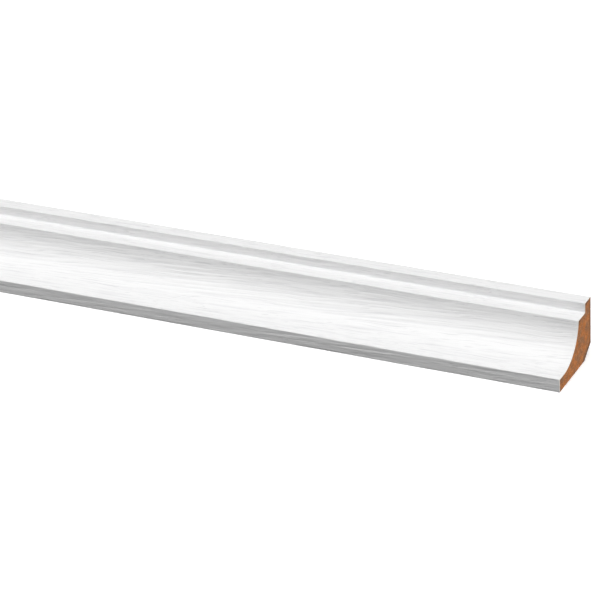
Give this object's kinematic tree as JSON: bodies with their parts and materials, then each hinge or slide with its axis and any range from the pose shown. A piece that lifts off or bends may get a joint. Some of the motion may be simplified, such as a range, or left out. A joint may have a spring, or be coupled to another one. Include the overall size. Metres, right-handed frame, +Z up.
{
  "type": "crown moulding length",
  "caption": "Length of white foil-wrapped fibre board crown moulding: upright nose, hollow cove, flat ledge and small raised lip, cut square at both ends.",
  "frame": {"origin": "middle of the underside, which is the ceiling face, on the centre of the bounding box", "axes": "+X along the length, +Y from the front to the wall face at the back, +Z up as it lies on its ceiling face, so installed it is turned upside down and -Z meets the ceiling"},
  "size_m": [0.4, 0.05, 0.0365],
  "materials": {
    "white_foil": "satin white foil with a faint embossed wood grain along the length, over fibre board",
    "bare_board": "bare orange-brown medium density fibre board, sawn and matte"
  },
  "bodies": {
    "root": {"crown_moulding": "white_foil"}
  },
  "joints": []
}
